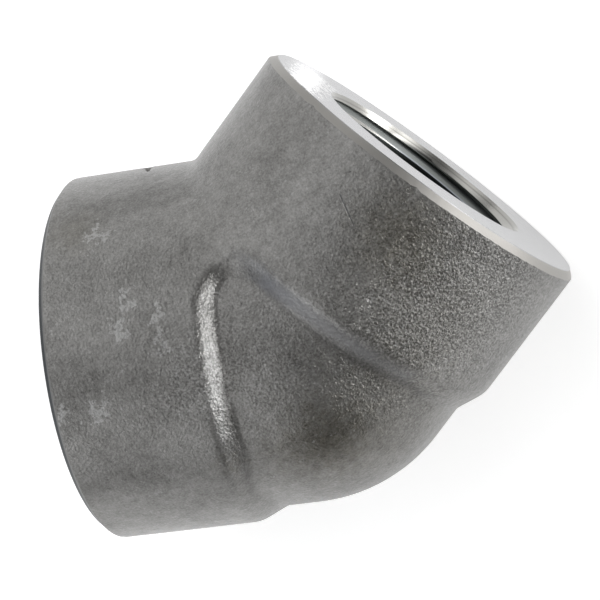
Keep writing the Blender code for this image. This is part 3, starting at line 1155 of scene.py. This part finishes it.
    def weather(self, form: bmesh.types.BMesh) -> None:
        """Press the waves, dents and nicks of a real forging into the skin, and fray the chamfer's edge."""
        axis = Vector((math.cos(self.sizes.half_turn), math.sin(self.sizes.half_turn), 0))
        moves = []
        for vertex in form.verts:
            kinds = {face.material_index for face in vertex.link_faces}
            if Surface.FORGED.value not in kinds:
                continue
            depth = self.sink(vertex.co)
            if Surface.TURNED.value in kinds:
                outward = axis if vertex.co.x > 0 else Vector((-axis.x, axis.y, 0))
                radial = (vertex.co - outward * vertex.co.dot(outward)).normalized()
                frayed = noise.noise(vertex.co * self.ragged_density) * 0.5 + 0.5
                depth += self.ragged_depth * max(0.0, frayed - self.ragged_start) / (1 - self.ragged_start)
                moves.append((vertex, (outward - radial) * depth))
            else:
                moves.append((vertex, vertex.normal * -depth))
        for vertex, move in moves:
            vertex.co += move

    def build(self) -> bpy.types.Object:
        """Build the elbow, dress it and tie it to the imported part.

        Returns:
            The finished piece.
        """
        shared = SharedGroups(
            stance=self.stance,
            hub_place=hub_place_group(self.sizes, self.stance),
            turning_marks=turning_marks_group(),
            skin_line=skin_line_group(),
            soft_patch=soft_patch_group(),
        )
        finishes = (
            self.forged.material(shared),
            self.turned.material(self.sizes, shared),
            self.threaded.material(self.sizes, shared),
        )
        thread = ThreadedBore(self.sizes).wound_mesh(finishes[Surface.THREADED.value])
        form = self.whole(thread)
        self.weather(form)
        bmesh.ops.transform(form, matrix=self.stance.matrix(), verts=form.verts)
        mesh = bpy.data.meshes.new("threaded_elbow")
        form.to_mesh(mesh)
        form.free()
        for finish in finishes:
            mesh.materials.append(finish)
        mesh.shade_smooth()
        mesh.set_sharp_from_angle(angle=SHARP_ANGLE)
        piece = bpy.data.objects.new("threaded_elbow", mesh)
        bpy.context.scene.collection.objects.link(piece)
        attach(piece, BODY)
        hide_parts(CAD_NODE)
        return piece


@dataclass(frozen=True)
class Glint:
    """A small bright disc that lies on the floor, outside the picture, and shows only in the steel."""

    name: str
    place: Point
    radius: float
    radiance: float

    def build(self) -> bpy.types.Object:
        """Lay the disc down, facing up, and return it."""
        data = bpy.data.lights.new(self.name, "AREA")
        data.shape = "DISK"
        data.size = 2 * self.radius
        data.energy = self.radiance * math.pi**2 * self.radius**2
        lamp = bpy.data.objects.new(self.name, data)
        lamp.location = self.place
        lamp.rotation_euler = (math.pi, 0, 0)
        lamp.visible_camera = False
        bpy.context.scene.collection.objects.link(lamp)
        return lamp


@dataclass(frozen=True)
class Panel:
    """A soft bright panel of the surround, far away in one direction."""

    name: str
    direction: Point
    level: float
    breadth: float = 16.0
    colour: Point = (1.0, 1.0, 1.0)

    def light(self, sketch: NodeSketch, direction: Socket) -> Socket:
        """Add the nodes that give this panel's light in a direction.

        Args:
            sketch: The surround's node tree.
            direction: The direction that is looked in.

        Returns:
            The panel's light, as a colour.
        """
        towards = Vector(self.direction).normalized()
        facing = sketch.dot(direction, tuple(towards))
        falloff = sketch.math("EXPONENT", sketch.times(sketch.minus(facing, 1.0), self.breadth))
        strength = tuple(self.level * part for part in self.colour)
        return sketch.vector("MULTIPLY", sketch.combine(falloff, falloff, falloff), strength)


@dataclass
class Studio:
    """The white studio: a pale floor, a white surround with soft panels, two glints and the camera."""

    floor_sides: Range = (-1.5, 1.5)
    floor_front: float = -0.11
    floor_back: float = 2.0
    target: Point = (0.002407, -0.001845, 0.027838)
    camera_place: Point = (0.079857, -0.170548, 0.333953)
    camera_up: Point = (0.500631, 0.805446, 0.317214)
    focal_length: float = 141.774
    sensor_width: float = 36.0
    ambient: float = 0.02
    floor_colour: Colour = (0.8, 0.8, 0.8, 1.0)
    floor_roughness: float = 0.9
    floor_glow: float = 0.66
    mirrored_glow: float = 0.56
    panels: tuple[Panel, ...] = (
        Panel("overhead", (-0.20, 0.18, 0.96), 1.38),
        Panel("high_left", (-0.45, -0.08, 0.89), 0.73),
        Panel("high_back_left", (-0.44, 0.63, 0.64), 0.74),
        Panel("high_back", (-0.04, 0.86, 0.51), 1.27),
        Panel("front_left", (-0.56, -0.67, 0.49), 0.80),
        Panel("back", (0.17, 0.97, 0.19), 0.59),
        Panel("back_left", (-0.67, 0.73, 0.11), 1.16),
        Panel("right", (0.94, -0.29, -0.19), 5.0),
        Panel("slope_light", (0.85, -0.50, 0.15), 13.0, 70.0),
        Panel("low_slope_light", (0.72, -0.69, 0.04), 6.5, 70.0),
        Panel("left_light", (-0.80, -0.49, 0.35), 3.8, 70.0),
        Panel("far_left", (-0.97, 0.02, 0.20), 1.5, 25.0, (0.92, 0.97, 1.08)),
        Panel("back_right", (0.65, 0.70, 0.29), 1.3, 30.0),
        Panel("far_right", (0.995, 0.03, 0.0), 3.0, 40.0),
        Panel("top_light", (-0.25, -0.37, 0.89), 0.9, 70.0),
        Panel("low_left_light", (-0.61, -0.79, 0.10), 2.1, 70.0),
    )
    glints: tuple[Glint, ...] = (
        Glint("face_glint", (0.0245, 0.0560, 0.001), 0.0036, 1.0),
        Glint("countersink_glint", (0.108, 0.022, 0.001), 0.035, 5.5),
    )

    def build_camera(self) -> bpy.types.Object:
        """Set up the camera at the photograph's viewing angle."""
        data = bpy.data.cameras.new("camera")
        data.sensor_width = self.sensor_width
        data.lens = self.focal_length
        back = (Vector(self.camera_place) - Vector(self.target)).normalized()
        right = Vector(self.camera_up).cross(back).normalized()
        up = back.cross(right)
        camera = bpy.data.objects.new("camera", data)
        turned = Matrix((right, up, back)).transposed().to_4x4()
        camera.matrix_world = Matrix.Translation(self.camera_place) @ turned
        bpy.context.scene.collection.objects.link(camera)
        bpy.context.scene.camera = camera
        return camera

    def build_surround(self) -> None:
        """Make the surround: plain white to the eye, with soft bright panels for the light that it casts."""
        world = bpy.data.worlds.new("surround")
        world.use_nodes = True
        bpy.context.scene.world = world
        sketch = NodeSketch(world.node_tree)
        background = world.node_tree.nodes["Background"]
        direction = sketch.add("ShaderNodeTexCoord").outputs["Generated"]
        light = (self.ambient,) * 3
        for panel in self.panels:
            light = sketch.vector("ADD", light, panel.light(sketch, direction))
        path = sketch.add("ShaderNodeLightPath")
        shown = sketch.mix_colour(path.outputs["Is Camera Ray"], light, WHITE)
        sketch.feed(background.inputs["Color"], shown)
        background.inputs["Strength"].default_value = 1.0

    def build_floor(self) -> bpy.types.Object:
        """Lay the floor, which keeps the elbow's shadow and shows as white to the eye and in the steel."""
        left, right = self.floor_sides
        corners = [(left, self.floor_front, 0), (right, self.floor_front, 0)]
        corners += [(right, self.floor_back, 0), (left, self.floor_back, 0)]
        mesh = bpy.data.meshes.new("floor")
        mesh.from_pydata(corners, [], [(0, 1, 2, 3)])
        made, sketch = new_material("white_floor")
        path = sketch.add("ShaderNodeLightPath").outputs
        to_eye = sketch.times(path["Is Camera Ray"], self.floor_glow)
        to_steel = sketch.times(path["Is Glossy Ray"], self.mirrored_glow)
        sketch.shade(
            {
                "Base Color": self.floor_colour,
                "Roughness": self.floor_roughness,
                "Specular IOR Level": 0.0,
                "Emission Color": WHITE,
                "Emission Strength": sketch.plus(to_eye, to_steel),
            }
        )
        mesh.materials.append(made)
        floor = bpy.data.objects.new("floor", mesh)
        bpy.context.scene.collection.objects.link(floor)
        return floor

    def build(self) -> None:
        """Build the whole studio."""
        self.build_camera()
        self.build_surround()
        self.build_floor()
        for glint in self.glints:
            glint.build()
        bpy.context.scene.view_settings.view_transform = "Standard"


def main() -> None:
    """Build the studio and the elbow, and report each piece."""
    logging.basicConfig(level=logging.INFO, format="%(name)s: %(message)s")
    studio = Studio()
    studio.build()
    LOG.info("studio built with %d panels and %d glints", len(studio.panels), len(studio.glints))
    piece = Elbow().build()
    triangles = sum(len(face.vertices) - 2 for face in piece.data.polygons)
    LOG.info("%s built with %d triangles, riding on %s", piece.name, triangles, BODY)


if __name__ == "__main__":
    main()
